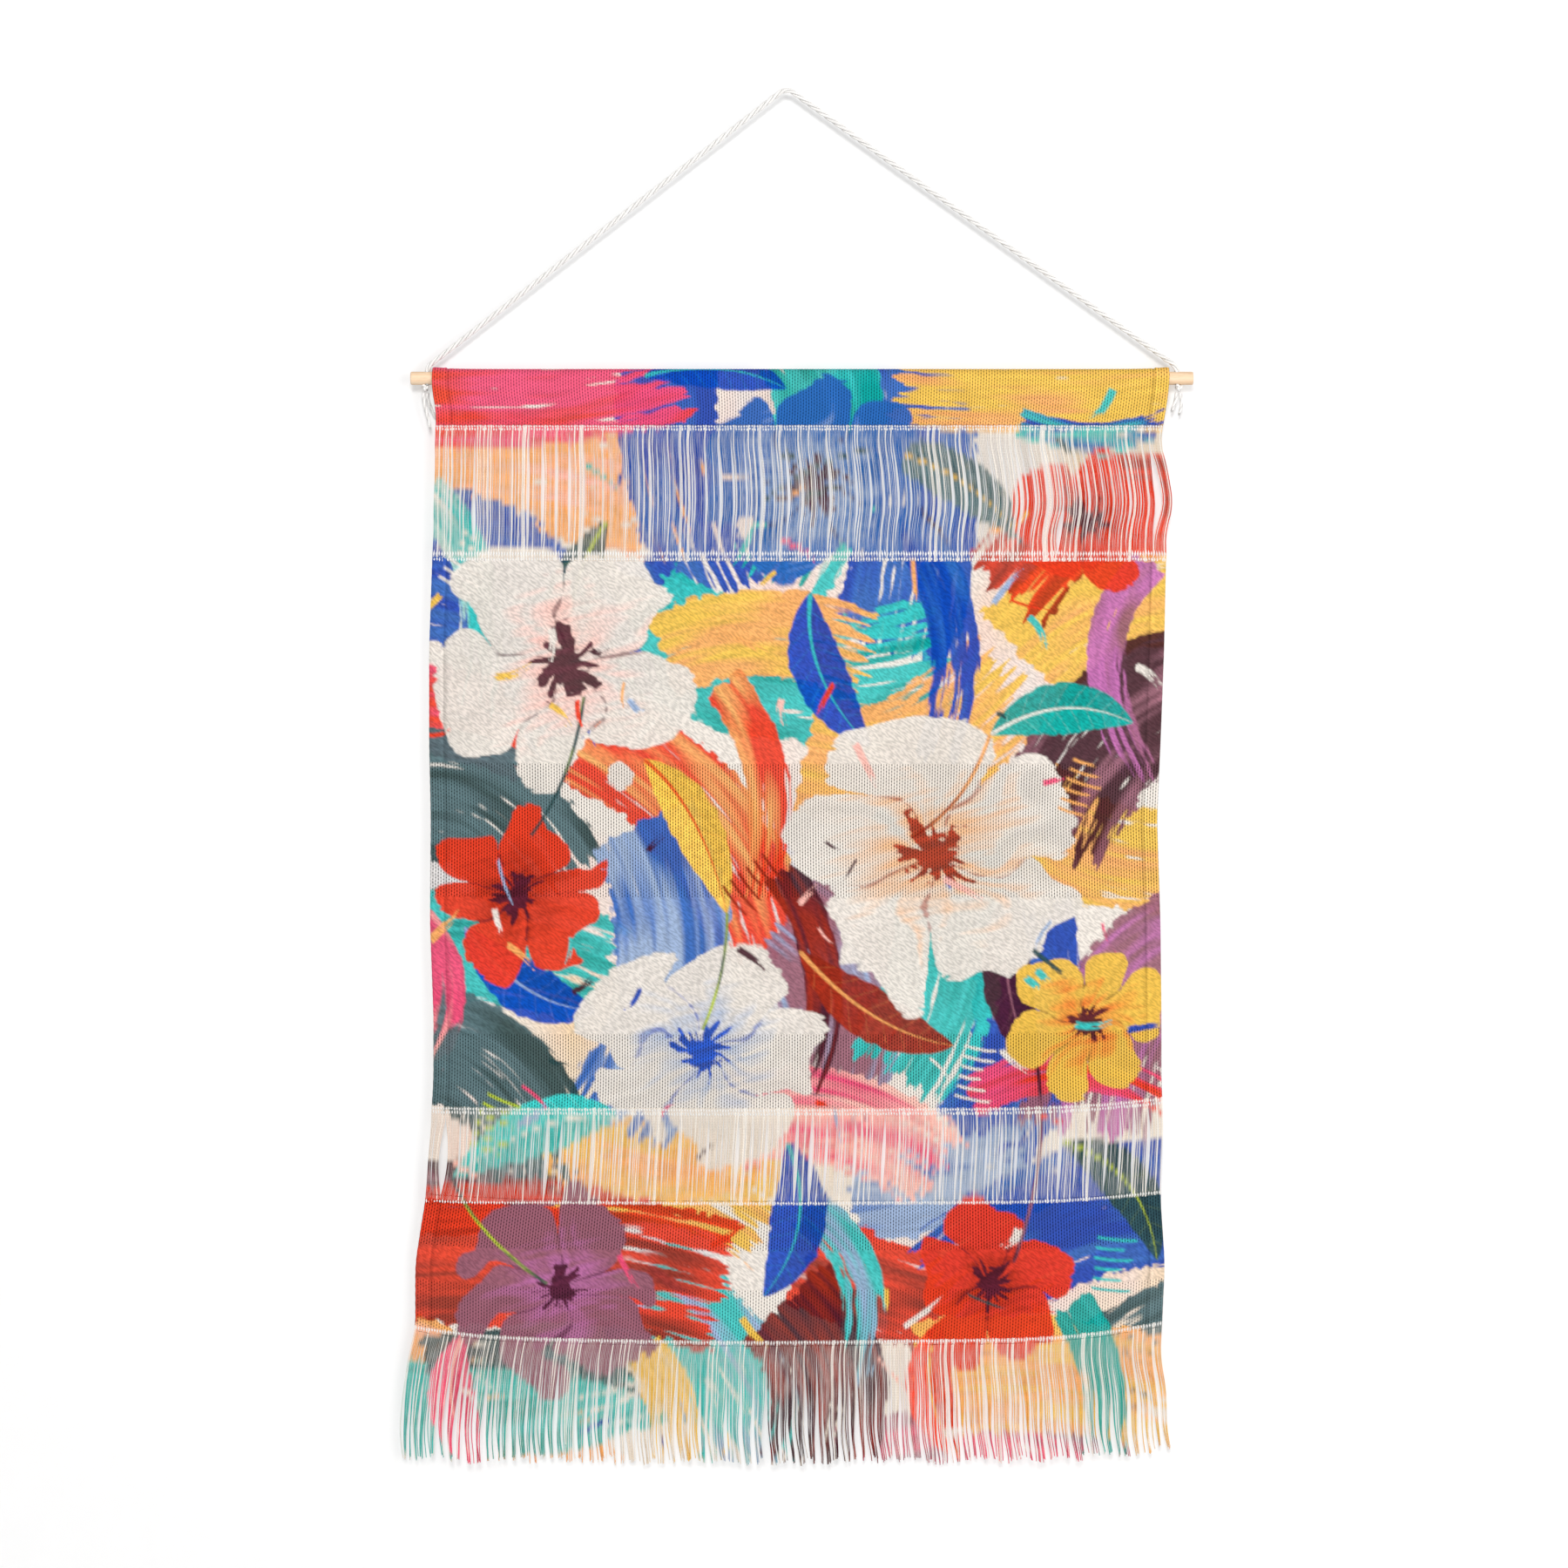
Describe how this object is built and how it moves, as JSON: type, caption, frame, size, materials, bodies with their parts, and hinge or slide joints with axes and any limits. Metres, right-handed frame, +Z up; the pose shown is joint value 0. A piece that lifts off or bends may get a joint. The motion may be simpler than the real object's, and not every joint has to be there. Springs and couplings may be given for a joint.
{
  "type": "textile wall hanging on a wooden dowel",
  "caption": "Flat woven hanging with a rod pocket on a dowel, open-warp bands, ribbed and crepe bands, a hem fringe and a twisted cord that turns over a wall hook.",
  "frame": {"origin": "the middle of the hanging cord where it turns over the wall's hook", "axes": "+Z up, +X to the viewer's right along the dowel, -Y out of the cloth's printed face, so the wall is on the +Y side"},
  "size_m": [0.664, 0.0172, 1.1529],
  "materials": {
    "wood": "sanded, unvarnished",
    "cord": "twisted cotton",
    "header_cloth": "printed basket weave",
    "upper_yarn": "printed warp yarns, speckled with white",
    "panel_cloth": "printed crepe and rib weave",
    "lower_yarn": "printed warp yarns, speckled with white",
    "lower_cloth": "printed rib and crepe weave",
    "fringe_yarn": "printed warp yarns, cut ends"
  },
  "bodies": {
    "root": {"dowel": "wood", "hanger_cord": "cord", "knot_left": "cord", "knot_right": "cord", "tail_left_outer": "cord", "tail_left_inner": "cord", "tail_right_outer": "cord", "tail_right_inner": "cord", "header_pocket": "header_cloth", "upper_warp_band": "upper_yarn", "main_panel": "panel_cloth", "lower_warp_band": "lower_yarn", "lower_panel": "lower_cloth", "hem_fringe": "fringe_yarn"}
  },
  "joints": []
}
